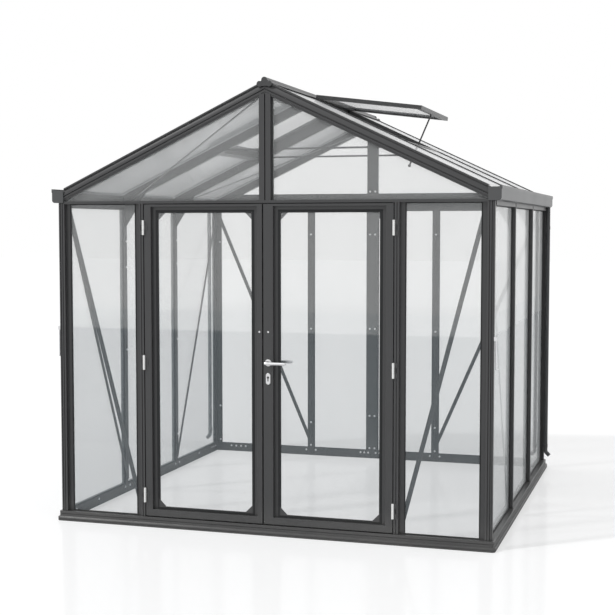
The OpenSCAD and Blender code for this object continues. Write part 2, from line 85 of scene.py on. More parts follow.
class Val:
    """A shader socket that takes part in Python expressions."""

    def __init__(self, graph: "Graph", socket: bpy.types.NodeSocket) -> None:
        """Keep the graph and the socket.

        Args:
            graph: the graph that new Math nodes go into.
            socket: the output socket this value stands for.
        """
        self.graph = graph
        self.socket = socket

    def _math(self, operation: str, first: Number, second: Number) -> "Val":
        """Return a Math node of two values."""
        return self.graph.node("ShaderNodeMath", {"operation": operation}, {0: first, 1: second})

    def __add__(self, other: Number) -> "Val":
        """Return self + other."""
        return self._math("ADD", self, other)

    def __radd__(self, other: Number) -> "Val":
        """Return other + self."""
        return self._math("ADD", other, self)

    def __rsub__(self, other: Number) -> "Val":
        """Return other - self."""
        return self._math("SUBTRACT", other, self)

    def __mul__(self, other: Number) -> "Val":
        """Return self * other."""
        return self._math("MULTIPLY", self, other)


class Graph:
    """Node tree of one material or world."""

    def __init__(self, tree: bpy.types.NodeTree) -> None:
        """Empty the tree and keep it.

        Args:
            tree: the node tree to fill.
        """
        self.tree = tree
        tree.nodes.clear()

    def node(self, kind: str, settings: Optional[dict[str, Any]] = None,
             inputs: Optional[dict[Any, Any]] = None, out: Union[int, str] = 0) -> Val:
        """Add a node and return one of its outputs.

        Args:
            kind: the node's type.
            settings: attributes set before the sockets; "stops" fills a colour ramp.
            inputs: values or links by socket name or number.
            out: the output socket to return.

        Returns:
            The chosen output as a value.
        """
        made = self.tree.nodes.new(kind)
        for key, value in (settings or {}).items():
            if key == "stops":
                ramp = made.color_ramp.elements
                while len(ramp) < len(value):
                    ramp.new(0.5)
                for element, (place, colour) in zip(ramp, value):
                    element.position = place
                    element.color = (*colour, 1.0)
            else:
                setattr(made, key, value)
        for key, value in (inputs or {}).items():
            if isinstance(value, Val):
                self.tree.links.new(value.socket, made.inputs[key])
            else:
                made.inputs[key].default_value = value
        if not made.outputs:
            return Val(self, made.inputs[0])
        return Val(self, made.outputs[out])

    def noise(self, where: Val, scale: float, detail: float = 2.0) -> Val:
        """Return a noise factor at a place.

        Args:
            where: the coordinates.
            scale: the noise's scale, per metre.
            detail: how many finer layers it has.

        Returns:
            The noise's factor, about 0.5 in the middle.
        """
        return self.node("ShaderNodeTexNoise", {}, {"Vector": where, "Scale": scale,
                                                    "Detail": detail}, "Fac")

    def blend(self, factor: Number, low: Colour, high: Colour) -> Val:
        """Return a colour between two colours.

        Args:
            factor: 0 for the first colour, 1 for the second.
            low: the first colour.
            high: the second colour.

        Returns:
            The mixed colour.
        """
        first, second = (end if isinstance(end, Val) else (*end, 1.0) for end in (low, high))
        return self.node("ShaderNodeMix", {"data_type": "RGBA"},
                         {0: factor, 6: first, 7: second}, 2)

    def glance(self) -> Val:
        """Return 0 for a surface seen square on, rising to 1 where it is seen edge on."""
        facing = self.node("ShaderNodeLayerWeight", {}, {"Blend": 0.5}, "Facing")
        return facing * facing * facing * facing

    def axis(self, where: Val, name: str) -> Val:
        """Return one coordinate of a place."""
        return self.node("ShaderNodeSeparateXYZ", {}, {0: where}, name)

    def stretch(self, where: Val, factors: Triple) -> Val:
        """Return a place scaled along each axis."""
        return self.node("ShaderNodeVectorMath", {"operation": "MULTIPLY"}, {0: where, 1: factors})

    def bump(self, height: Val, strength: float, distance: float) -> Val:
        """Return a normal tilted by a height."""
        return self.node("ShaderNodeBump", {}, {"Height": height, "Strength": strength,
                                                "Distance": distance})

    def surface(self, inputs: dict[str, Any]) -> None:
        """Give the material a Principled shader with these inputs."""
        shader = self.node("ShaderNodeBsdfPrincipled", {}, inputs)
        self.node("ShaderNodeOutputMaterial", {}, {0: shader})

    def span(self, value: Val, start: float, end: float) -> Val:
        """Return 0 at start, 1 at end and a smooth ramp between them."""
        return self.node("ShaderNodeMapRange", {"interpolation_type": "SMOOTHSTEP"},
                         {"Value": value, "From Min": start, "From Max": end}, 0)


def new_graph(name: str) -> tuple[bpy.types.Material, Graph, Val]:
    """Start a material.

    Args:
        name: the material's name.

    Returns:
        The material, its graph and its object coordinates.
    """
    material = bpy.data.materials.new(name)
    material.use_nodes = True
    graph = Graph(material.node_tree)
    return material, graph, graph.node("ShaderNodeTexCoord", out="Object")


def tint(colour: Triple, gain: float) -> Triple:
    """Return a colour made lighter or darker by a gain."""
    return (colour[0] * gain, colour[1] * gain, colour[2] * gain)


# ------------------------------------------------------------------- finishes

@dataclass(frozen=True)
class PaintFinish:
    """Powder coat, enamel, moulded plastic or rubber."""
    name: str
    colour: Triple
    roughness: float = 0.45
    peel: float = 0.06
    dust: float = 0.25
    specular: float = 0.5
    dust_colour: Triple = (0.34, 0.33, 0.31)
    dust_top: float = 0.22
    cloud_scale: float = 2.3
    grain_scale: float = 420.0
    grain_depth: float = 0.0006

    def build(self) -> bpy.types.Material:
        """Return the material: an even coat with a fine peel and some dust low down."""
        material, graph, where = new_graph(self.name)
        cloud = graph.noise(where, self.cloud_scale, 4.0)
        grain = graph.noise(where, self.grain_scale)
        low = 1.0 - graph.span(graph.axis(where, "Z"), 0.0, self.dust_top)
        coat = graph.blend(cloud, tint(self.colour, 0.90), tint(self.colour, 1.10))
        graph.surface({
            "Base Color": graph.blend(low * cloud * self.dust, coat, self.dust_colour),
            "Roughness": self.roughness - 0.05 + cloud * 0.10,
            "Specular IOR Level": self.specular,
            "Normal": graph.bump(grain, self.peel, self.grain_depth)})
        return material


@dataclass(frozen=True)
class MetalFinish:
    """Satin or zinc-plated metal."""
    name: str
    colour: Triple
    roughness: float = 0.30
    brush: Triple = (40.0, 900.0, 900.0)
    brush_depth: float = 0.0004
    wear_scale: float = 60.0

    def build(self) -> bpy.types.Material:
        """Return the material: brushed metal with faint scratches."""
        material, graph, where = new_graph(self.name)
        brushed = graph.noise(graph.stretch(where, self.brush), 1.0)
        worn = graph.noise(where, self.wear_scale, 3.0)
        graph.surface({
            "Base Color": graph.blend(worn, tint(self.colour, 0.92), self.colour),
            "Metallic": 1.0, "Roughness": self.roughness - 0.04 + worn * 0.08,
            "Normal": graph.bump(brushed, 0.05, self.brush_depth)})
        return material


@dataclass(frozen=True)
class PaneFinish:
    """Clear wall pane with a soft veil whose colour is a painted reflection: darker low down, paler
    higher up and near-white seen edge on.
    """
    name: str
    # upper, middle and lower colour the veil as a painted reflection of the surroundings: dark low
    # down and paler above the heights in turns. It stays on the glass and does not move with the view.
    upper: Triple = (0.79, 0.81, 0.81)
    middle: Triple = (0.68, 0.72, 0.73)
    lower: Triple = (0.31, 0.355, 0.38)
    # The edge-on colour is a painted reflection: the pane turns near-white where it is seen edge on,
    # and edge_veil makes it nearly opaque there.
    edge_on_reflection: Triple = (0.95, 0.96, 0.96)
    turns: tuple[float, float] = (1.172, 1.290)
    turn_depth: float = 0.006
    veil: float = 0.145
    edge_veil: float = 0.95
    wipe: Triple = (1.0, 1.0, 0.25)

    def build(self) -> bpy.types.Material:
        """Return the material: a thin veil over see-through sheet, with wiped dust streaks in its
        opacity and a painted reflection in its colour.
        """
        material, graph, where = new_graph(self.name)
        height = graph.axis(where, "Z")
        smear = graph.noise(graph.stretch(where, self.wipe), 3.0)
        first, second = (graph.span(height, z - self.turn_depth, z + self.turn_depth)
                         for z in self.turns)
        foot = graph.blend(first, self.lower, self.middle)
        glance = graph.glance()
        # Base Color is a painted reflection: dark below the first turn, mid-grey up to the second,
        # pale above it and near-white edge on.
        graph.surface({
            "Base Color": graph.blend(glance, graph.blend(second, foot, self.upper), self.edge_on_reflection),
            "Alpha": (self.veil - 0.01 + smear * 0.02
                      + glance * (self.edge_veil - self.veil)),
            "Roughness": 0.05 + smear * 0.03, "IOR": 1.5})
        return material


@dataclass(frozen=True)
class SheetFinish:
    """Translucent roof sheet with faint flutes that run down the slope."""
    name: str
    colour: Triple
    veil: float
    edge_veil: float
    pitch: float = 0.0105

    def build(self) -> bpy.types.Material:
        """Return the material: pale sheet whose flutes show as faint lines."""
        material, graph, where = new_graph(self.name)
        wave = graph.node("ShaderNodeMath", {"operation": "SINE"},
                          {0: graph.axis(where, "Y") * (2.0 * math.pi / self.pitch)})
        smear = graph.noise(where, 2.0, 3.0)
        flute = wave * 0.5 + 0.5
        graph.surface({
            "Base Color": graph.blend(smear, tint(self.colour, 0.96), self.colour),
            "Alpha": (self.veil - 0.02 + flute * 0.04
                      + graph.glance() * (self.edge_veil - self.veil)),
            "Roughness": 0.16 + smear * 0.06, "IOR": 1.58})
        return material


FINISHES: dict[str, bpy.types.Material] = {
    finish.name: finish.build() for finish in (
        PaintFinish("anthracite_coat", (0.046, 0.0465, 0.048), 0.35, 0.06, 0.2, 0.52),
        PaintFinish("gutter_coat", (0.066, 0.068, 0.070), 0.33, 0.06, 0.2, 0.6),
        PaintFinish("pipe_plastic", (0.045, 0.047, 0.050), 0.38, 0.04),
        PaintFinish("black_seal", (0.018, 0.019, 0.020), 0.62, 0.15, 0.15, 0.3),
        PaintFinish("white_enamel", (0.86, 0.86, 0.85), 0.35, 0.03, 0.1),
        MetalFinish("satin_steel", (0.80, 0.80, 0.81)),
        MetalFinish("zinc_bolt", (0.74, 0.74, 0.75), 0.36),
        PaneFinish("clear_pane"),
        SheetFinish("roof_sheet", (0.88, 0.89, 0.90), 0.66, 0.93),
        # The roof underside finish is a darker copy of the roof sheet: painted shade for the sheets'
        # shaded underside.
        SheetFinish("roof_underside_painted_shade", (0.24, 0.25, 0.26), 0.30, 0.30),
        SheetFinish("vent_sheet", (0.30, 0.31, 0.32), 0.30, 0.30),
    )}

NODE_FINISH: dict[Slot, str] = {
    Slot.FRAME: "anthracite_coat", Slot.GUTTER: "gutter_coat", Slot.PIPE: "pipe_plastic",
    Slot.PANE: "clear_pane", Slot.SHEET: "roof_sheet", Slot.STEEL: "satin_steel",
    Slot.HINGE: "white_enamel"}


# ---------------------------------------------------------------- mesh helpers

class Mesh:
    """Closed shapes gathered into one piece."""

    def __init__(self) -> None:
        """Start with no shape."""
        self.bm = bmesh.new()

    def rings(self, rings: Sequence[Sequence[Triple]], closed: bool = False) -> "Mesh":
        """Join rings of the same number of points with quads.

        Args:
            rings: the rings in order; the ends are capped unless closed.
            closed: True joins the last ring to the first.

        Returns:
            This mesh.
        """
        made = [[self.bm.verts.new(point) for point in ring] for ring in rings]
        pairs = list(zip(made, made[1:]))
        if closed:
            pairs.append((made[-1], made[0]))
        for first, second in pairs:
            count = len(first)
            for i in range(count):
                j = (i + 1) % count
                self.bm.faces.new((first[i], first[j], second[j], second[i]))
        if not closed:
            self.bm.faces.new(list(reversed(made[0])))
            self.bm.faces.new(made[-1])
        return self

    def run(self, outline: Sequence[Point], start: Triple, end: Triple, across: Triple,
            deep: Triple) -> "Mesh":
        """Extrude an outline from start to end.

        Args:
            outline: points in metres along across and deep.
            start: where the outline's origin starts.
            end: where it ends.
            across: direction of the outline's first axis.
            deep: direction of its second axis.

        Returns:
            This mesh.
        """
        first, second = Vector(across), Vector(deep)
        return self.rings([[tuple(Vector(base) + first * u + second * v) for u, v in outline]
                           for base in (start, end)])

    def box(self, first: Triple, second: Triple) -> "Mesh":
        """Add a box between any two opposite corners."""
        (x0, x1), (y0, y1), (z0, z1) = (sorted(pair) for pair in zip(first, second))
        return self.rings([[(x0, y0, z), (x1, y0, z), (x1, y1, z), (x0, y1, z)] for z in (z0, z1)])

    def disc(self, centre: Triple, axis: Triple, radii: Sequence[tuple[float, float]],
             sides: int = 20) -> "Mesh":
        """Add a turned shape.

        Args:
            centre: the start of its axis.
            axis: the direction of its axis.
            radii: pairs of distance along the axis and radius.
            sides: how many sides it has.

        Returns:
            This mesh.
        """
        turn = Vector((0, 0, 1)).rotation_difference(Vector(axis).normalized()).to_matrix()
        base = Vector(centre)
        angles = [2 * math.pi * i / sides for i in range(sides)]
        return self.rings([[tuple(base + turn @ Vector((r * math.cos(a), r * math.sin(a), h)))
                            for a in angles] for h, r in radii])

    def mirror(self, plane_x: bool = True, about: float = 0.0) -> "Mesh":
        """Add a mirrored copy of everything so far.

        Args:
            plane_x: True mirrors in X, False in Y.
            about: the plane's place on that axis.

        Returns:
            This mesh.
        """
        copy = bmesh.ops.duplicate(self.bm, geom=list(self.bm.verts) + list(self.bm.faces))
        for part in copy["geom"]:
            if isinstance(part, bmesh.types.BMVert):
                index = 0 if plane_x else 1
                part.co[index] = 2 * about - part.co[index]
        return self

    def finish(self, name: str, body: Body, slot: Slot, look: str, nodes: Sequence[str] = (),
               edge: float = 0.0006, smooth: bool = True) -> bpy.types.Object:
        """Turn the mesh into a piece.

        Args:
            name: the piece's name.
            body: the body it rides on.
            slot: the record's slot; not used.
            look: the name of its finish.
            nodes: the CAD nodes that it stands for.
            edge: width of the bevel on its sharp edges, 0 for none.
            smooth: True shades gentle bends smoothly.

        Returns:
            The new object.
        """
        bmesh.ops.remove_doubles(self.bm, verts=self.bm.verts, dist=1e-6)
        bmesh.ops.dissolve_degenerate(self.bm, edges=self.bm.edges, dist=1e-7)
        bmesh.ops.recalc_face_normals(self.bm, faces=self.bm.faces)
        data = bpy.data.meshes.new(name)
        self.bm.to_mesh(data)
        self.bm.free()
        piece = bpy.data.objects.new(name, data)
        bpy.context.scene.collection.objects.link(piece)
        if edge:
            bevel = piece.modifiers.new("edges", "BEVEL")
            bevel.width = edge
            bevel.segments = 2
            bevel.limit_method = "ANGLE"
            bevel.angle_limit = math.radians(35)
        if smooth:
            for face in data.polygons:
                face.use_smooth = True
            data.set_sharp_from_angle(angle=math.radians(32))
        data.materials.append(FINISHES[look])
        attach(piece, body.value)
        if nodes:
            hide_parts(*nodes)
        LOG.info("%s: %d faces on %s", name, len(data.polygons), body.value)
        return piece

    def coated(self, name: str, *nodes: str, body: Body = Body.FRAME,
               edge: float = 0.0006) -> bpy.types.Object:
        """Finish the mesh as a dark coated piece."""
        return self.finish(name, body, Slot.FRAME, "anthracite_coat", nodes, edge)

    def sealed(self, name: str, body: Body = Body.FRAME) -> bpy.types.Object:
        """Finish the mesh as a black seal."""
        return self.finish(name, body, Slot.PIPE, "black_seal", (), 0.0)

    def plated(self, name: str, body: Body = Body.FRAME) -> bpy.types.Object:
        """Finish the mesh as small plated steel."""
        return self.finish(name, body, Slot.STEEL, "zinc_bolt", (), 0.0)


def mm(points: Iterable[Point]) -> list[Point]:
    """Return an outline given in millimetres in metres."""
    return [(u * MM, v * MM) for u, v in points]


# ---------------------------------------------------------------------- layout

@dataclass(frozen=True)
class Layout:
    """Main places of the house, read from the CAD boxes, in metres."""
    half_w: float
    depth: float
    sill_h: float
    eave_h: float
    eave_x: float
    ridge_z: float
    rafter_h: float = 0.076
    wall_t: float = 0.036
    jamb_w: float = 0.057
    bar_half: float = 0.023

    @classmethod
    def from_frame(cls) -> "Layout":
        """Return the layout of the loaded frame."""
        posts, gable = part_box("corner_posts"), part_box("front_gable_rafters")
        return cls(half_w=posts[1][0], depth=posts[1][1], sill_h=posts[0][2],
                   eave_h=posts[1][2], eave_x=gable[1][0], ridge_z=gable[1][2])

    @property
    def slope(self) -> float:
        """Rise of the roof for each metre of run."""
        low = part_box("front_gable_rafters")[0][2] + self.rafter_h
        return (self.ridge_z - low) / self.eave_x

    @property
    def bay(self) -> float:
        """Distance between two rafters."""
        return self.depth / 3

    @property
    def doorway_x(self) -> float:
        """Distance from the middle to a jamb's inner face."""
        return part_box("door_jambs")[1][0] - self.jamb_w

    @property
    def rear_bar_x(self) -> float:
        """Distance from the middle to the line of a rear glazing bar."""
        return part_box("rear_wall_bars")[1][0] - self.bar_half

    def roof_z(self, x: float) -> float:
        """Return the height of the rafters' top line at x."""
        return self.ridge_z - self.slope * abs(x)


# -------------------------------------------------------------- sub-assemblies

@dataclass
class BaseFrame:
    """Stepped base frame on the ground."""
    layout: Layout
    levels: tuple[Point, ...] = ((0, 20), (2, 22), (9, 22), (9.4, 18), (12, 18), (12.4, 22),
                                 (21, 22), (24, 19.5), (24.5, 12), (26, 11), (40, 11),
                                 (40.4, 6), (43, 6), (43.4, 11), (56.5, 11), (58, 9.5))
    arc_steps: int = 6

    def rounded(self, name: str, node: str, rear: bool) -> None:
        """Build the front or rear sill with its rounded outer corners.

        Args:
            name: the piece's name.
            node: the CAD node it stands for.
            rear: True for the rear sill.
        """
        lay = self.layout
        rings = []
        for z, out in self.levels:
            ring = [(-(lay.half_w + out * MM), lay.wall_t)]
            for side, first in ((-1, 180), (1, 270)):
                for i in range(self.arc_steps + 1):
                    a = math.radians(first + 90 * i / self.arc_steps)
                    ring.append((side * lay.half_w + out * MM * math.cos(a),
                                 out * MM * math.sin(a)))
            ring.append((lay.half_w + out * MM, lay.wall_t))
            rings.append([(x, lay.depth - y if rear else y, z * MM) for x, y in ring])
        Mesh().rings(rings).coated(name, node, edge=0.0)

    def straight(self, name: str, node: str, side: int) -> None:
        """Build the sill of one side wall.

        Args:
            name: the piece's name.
            node: the CAD node it stands for.
            side: 1 for the right wall, -1 for the left.
        """
        lay = self.layout
        inner = side * (lay.half_w - lay.wall_t)
        rings = [[(inner, lay.wall_t, z * MM), (side * (lay.half_w + out * MM), lay.wall_t, z * MM),
                  (side * (lay.half_w + out * MM), lay.depth - lay.wall_t, z * MM),
                  (inner, lay.depth - lay.wall_t, z * MM)] for z, out in self.levels]
        Mesh().rings(rings).coated(name, node, edge=0.0)

    def build(self) -> None:
        """Build the four sills."""
        self.rounded("base_sill_front", "front_sill", False)
        self.rounded("base_sill_rear", "rear_sill", True)
        self.straight("base_sill_left", "left_sill", -1)
        self.straight("base_sill_right", "right_sill", 1)


@dataclass
class WallPosts:
    """Corner posts, door jambs and glazing bars with their grooves."""
    layout: Layout
    corner: tuple[Point, ...] = (
        (6, 0), (6, 6), (0, 6), (0, 11), (9, 11), (9, 15), (0, 15), (0, 25), (9, 25),
        (9, 28.5), (0, 28.5), (0, 40), (22, 40), (22, 69), (36, 69), (36, 36), (69, 36),
        (69, 22), (40, 22), (40, 0), (28.5, 0), (28.5, 9), (25, 9), (25, 0), (15, 0),
        (15, 9), (11, 9), (11, 0))
    jamb: tuple[Point, ...] = ((0, 0), (12.5, 0), (12.5, 8), (16, 8), (16, 0), (28, 0),
                               (28, 22), (57, 22), (57, 36), (0, 36))
    bar: tuple[Point, ...] = ((-14, 0), (-2, 0), (-2, 7), (2, 7), (2, 0), (14, 0), (14, 22),
                              (23, 22), (23, 36), (3, 36), (3, 33), (-3, 33), (-3, 36),
                              (-23, 36), (-23, 22), (-14, 22))
    mullion: tuple[Point, ...] = ((-34, 0), (-3, 0), (-3, 12), (3, 12), (3, 0), (34, 0), (34, 22),
                                  (43, 22), (43, 36), (-43, 36), (-43, 22), (-34, 22))

    def posts(self) -> None:
        """Build the four corner posts."""
        lay = self.layout
        mesh = Mesh().run(mm(self.corner), (lay.half_w, 0, lay.sill_h),
                          (lay.half_w, 0, lay.eave_h), (-1, 0, 0), (0, 1, 0))
        mesh.mirror().mirror(False, lay.depth / 2).coated("grooved_corner_posts", "corner_posts")

    def jambs(self) -> None:
        """Build the two door jambs."""
        x, foot, top = self.layout.doorway_x, self.layout.sill_h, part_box("door_jambs")[1][2]
        mesh = Mesh().run(mm(self.jamb), (x, 0, foot), (x, 0, top), (1, 0, 0), (0, 1, 0))
        mesh.mirror().coated("grooved_door_jambs", "door_jambs")

    def bars(self) -> None:
        """Build the glazing bars of the side walls and the rear wall."""
        lay = self.layout
        side = Mesh()
        for y in (lay.bay, 2 * lay.bay):
            side.run(mm(self.bar), (lay.half_w, y, lay.sill_h), (lay.half_w, y, lay.eave_h),
                     (0, 1, 0), (-1, 0, 0))
        side.mirror().coated("side_glazing_bars", "side_wall_bars")
        x, top = lay.rear_bar_x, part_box("rear_wall_bars")[1][2]
        rear = Mesh().run(mm(self.bar), (x, lay.depth, lay.sill_h), (x, lay.depth, top),
                          (1, 0, 0), (0, -1, 0))
        rear.mirror().coated("rear_glazing_bars", "rear_wall_bars")

    def mullions(self) -> None:
        """Build the mullion of each gable wall."""
        lay = self.layout
        top = lay.ridge_z - lay.rafter_h
        for label, y, turn in (("front", 0.0, 1), ("rear", lay.depth, -1)):
            node = f"{label}_mullion"
            mesh = Mesh().run(mm(self.mullion), (0, y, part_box(node)[0][2]), (0, y, top),
                              (1, 0, 0), (0, turn, 0))
            mesh.coated(f"grooved_{node}", node)

    def build(self) -> None:
        """Build the upright members of all four walls."""
        self.posts()
        self.jambs()
        self.bars()
        self.mullions()


@dataclass
class Roof:
    """Moulded gable rafters, the ridge cap and the gutters."""
    layout: Layout
    gable: tuple[Point, ...] = ((3, 0), (1, 2), (1, 10), (10, 11), (10, 15), (8, 16), (0, 36), (0, 46),
                                (9, 47), (9, 52), (1, 53), (1, 64), (5, 66), (5, 76), (44, 76),
                                (44, 0))
    gutter: tuple[Point, ...] = ((0, 0), (60, 0), (69, 5), (73, 14), (73, 58), (76, 63), (76, 82),
                                 (67, 82), (67, 79), (71, 79), (71, 66), (68, 60), (68, 16),
                                 (65, 9), (58, 5), (5, 5), (5, 62), (0, 62))
    plate: tuple[Point, ...] = ((0, 0), (60, 0), (69, 5), (73, 14), (73, 58), (76, 63), (76, 82),
                                (64, 82), (60, 74), (0, 74))
    cap_reach: float = 0.046
    cap_seat: float = 0.00005
    end_t: float = 0.006
    lobe_x: float = 0.029

    def gable_pair(self, name: str, node: str, rear: bool) -> None:
        """Build the pair of moulded rafters of one gable.

        Args:
            name: the piece's name.
            node: the CAD node it stands for.
            rear: True for the rear gable.
        """
        lay = self.layout
        rings = []
        for x in (-lay.eave_x, 0.0, lay.eave_x):
            rings.append([(x, lay.depth - y * MM if rear else y * MM, lay.roof_z(x) - drop * MM)
                          for y, drop in self.gable])
        Mesh().rings(rings).coated(name, node, edge=0.0004)

    def ridge(self) -> None:
        """Build the ridge cap with its lobed end plates."""
        lay = self.layout
        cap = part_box("ridge_cap")
        reach, y0, y1 = self.cap_reach, cap[0][1], cap[1][1]
        under = [(-reach, lay.roof_z(reach)), (0, lay.ridge_z), (reach, lay.roof_z(reach))]
        right = [(reach, lay.roof_z(reach) + 0.005), (0.014, lay.roof_z(0.014) + 0.006),
                 (0.009, lay.ridge_z + 0.012), (0.004, lay.ridge_z + 0.017)]
        over = right + [(-x, z) for x, z in reversed(right)]
        mesh = Mesh().run(under + over, (0, y0 + self.end_t, self.cap_seat),
                          (0, y1 - self.end_t, self.cap_seat), (1, 0, 0), (0, 0, 1))
        lobe_z, web = lay.roof_z(self.lobe_x) - 0.008, lay.roof_z(0.03)
        for y in (y0, y1 - self.end_t):
            for x, z, r in ((0, lay.ridge_z, 0.0175), (self.lobe_x, lobe_z, 0.0165),
                            (-self.lobe_x, lobe_z, 0.0165)):
                mesh.disc((x, y, z), (0, 1, 0), ((0, r - 0.001), (0.001, r), (self.end_t, r)), 24)
            mesh.run([(-0.03, web - 0.02), (0.03, web - 0.02), (0.03, web),
                      (0, lay.ridge_z + 0.01), (-0.03, web)],
                     (0, y + 0.0005, 0), (0, y + self.end_t - 0.0005, 0), (1, 0, 0), (0, 0, 1))
        mesh.coated("lobed_ridge_cap", "ridge_cap")

    def gutter_run(self, name: str, node: str, side: int) -> None:
        """Build one gutter with its end plates.

        Args:
            name: the piece's name.
            node: the CAD node it stands for.
            side: 1 for the right gutter, -1 for the left.
        """
        lay = self.layout
        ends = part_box(node)
        y0, y1 = ends[0][1], ends[1][1]
        mesh = Mesh().run(mm(self.gutter), (side * lay.eave_x, 0, lay.eave_h),
                          (side * lay.eave_x, lay.depth, lay.eave_h), (side, 0, 0), (0, 0, 1))
        for start, end in ((y0, 0.0), (lay.depth, y1)):
            mesh.run(mm(self.plate), (side * lay.eave_x, start, lay.eave_h),
                     (side * lay.eave_x, end, lay.eave_h), (side, 0, 0), (0, 0, 1))
        mesh.finish(name, Body.FRAME, Slot.GUTTER, "gutter_coat", (node,), 0.0005)

    def build(self) -> None:
        """Build the roof's outer members."""
        self.gable_pair("moulded_gable_front", "front_gable_rafters", False)
        self.gable_pair("moulded_gable_rear", "rear_gable_rafters", True)
        self.ridge()
        self.gutter_run("moulded_gutter_left", "left_gutter", -1)
        self.gutter_run("moulded_gutter_right", "right_gutter", 1)


def straight_place(x: float, y: float, z: float) -> Triple:
    """Return a point of the front wall."""
    return (x, y, z)


@dataclass(frozen=True)
class Rect:
    """Upright rectangle given along a wall and in height, in metres."""
    x0: float
    z0: float
    x1: float
    z1: float

    def grown(self, by: float) -> "Rect":
        """Return the rectangle made larger on all sides."""
        return Rect(self.x0 - by, self.z0 - by, self.x1 + by, self.z1 + by)

    def loop(self, y: float, place: Place = straight_place) -> list[Triple]:
        """Return its corners at a depth.

        Args:
            y: the depth.
            place: turns along, depth and height into a point.

        Returns:
            Four points.
        """
        return [place(x, y, z) for x, z in ((self.x0, self.z0), (self.x1, self.z0),
                                            (self.x1, self.z1), (self.x0, self.z1))]


@dataclass
class Leaf:
    """One door leaf: a stepped ring, corner plates, a seal and a screw."""
    body: Body
    screw_in: float
    flange: float = 0.037
    flange_set: float = 0.022
    foot_step: float = 0.014
    rim: float = 0.0015
    rebate_gap: float = 0.0001
    seal_w: float = 0.015
    plate: float = 0.046
    lower_plate: Point = (0.0185, 0.0239)
    upper_plate: Point = (0.0282, 0.0325)
    screw_z: float = 1.174

    def ring(self, outer: Rect, glass: Rect, back: float) -> None:
        """Build the stiles and rails as one stepped ring.

        Args:
            outer: the leaf's outline.
            glass: the opening for the pane.
            back: the depth of the inner face.
        """
        recess = Rect(glass.x0 - self.flange, glass.z0 - self.foot_step, glass.x1 + self.flange,
                      outer.z1 - self.foot_step)
        name = self.body.value
        Mesh().rings([
            outer.loop(back), outer.loop(self.rim), outer.grown(-self.rim).loop(0.0),
            recess.grown(self.rim).loop(0.0), recess.loop(self.rim), recess.loop(self.flange_set),
            glass.loop(self.flange_set), glass.loop(back)], closed=True).coated(
                f"{name}_stiles_and_rails", f"{name}_frame", body=self.body, edge=0.0)

    def plates(self, glass: Rect) -> None:
        """Build the corner plates, in front of the pane below and behind it above."""
        for z, up, label, (front, rear) in ((glass.z0, 1, "lower", self.lower_plate),
                                            (glass.z1, -1, "upper", self.upper_plate)):
            mesh = Mesh()
            for x, along in ((glass.x0, 1), (glass.x1, -1)):
                mesh.run([(-0.002, -0.002), (self.plate, -0.002), (-0.002, self.plate)],
                         (x, front, z), (x, rear, z), (along, 0, 0), (0, 0, up))
            mesh.coated(f"{self.body.value}_{label}_corner_plates", body=self.body)

    def build(self) -> None:
        """Build the leaf's ring, its seal and its small fittings."""
        name, step = self.body.value, self.flange_set
        low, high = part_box(f"{name}_frame")
        pane_low, pane_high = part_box(f"{name}_pane")
        outer = Rect(low[0], low[2], high[0], high[2])
        glass = Rect(pane_low[0], pane_low[2], pane_high[0], pane_high[2]).grown(self.rebate_gap)
        self.ring(outer, glass, high[1])
        self.plates(glass)
        seal = Mesh().rings([
            glass.grown(-0.002).loop(step - 0.001), glass.grown(0.001).loop(step - 0.003),
            glass.grown(self.seal_w - 0.001).loop(step - 0.0016),
            glass.grown(self.seal_w).loop(step + 0.0003),
            glass.grown(-0.002).loop(step + 0.0015)], closed=True)
        seal.sealed(f"{name}_seal", self.body)
        right = self.body is Body.RIGHT_DOOR
        meet = outer.x0 + self.screw_in if right else outer.x1 - self.screw_in
        screw = Mesh().disc((meet, 0.0005, self.screw_z), (0, -1, 0),
                            ((0, 0.0055), (0.0015, 0.0055), (0.0025, 0.0035)), 16)
        screw.plated(f"{name}_stile_screw", self.body)


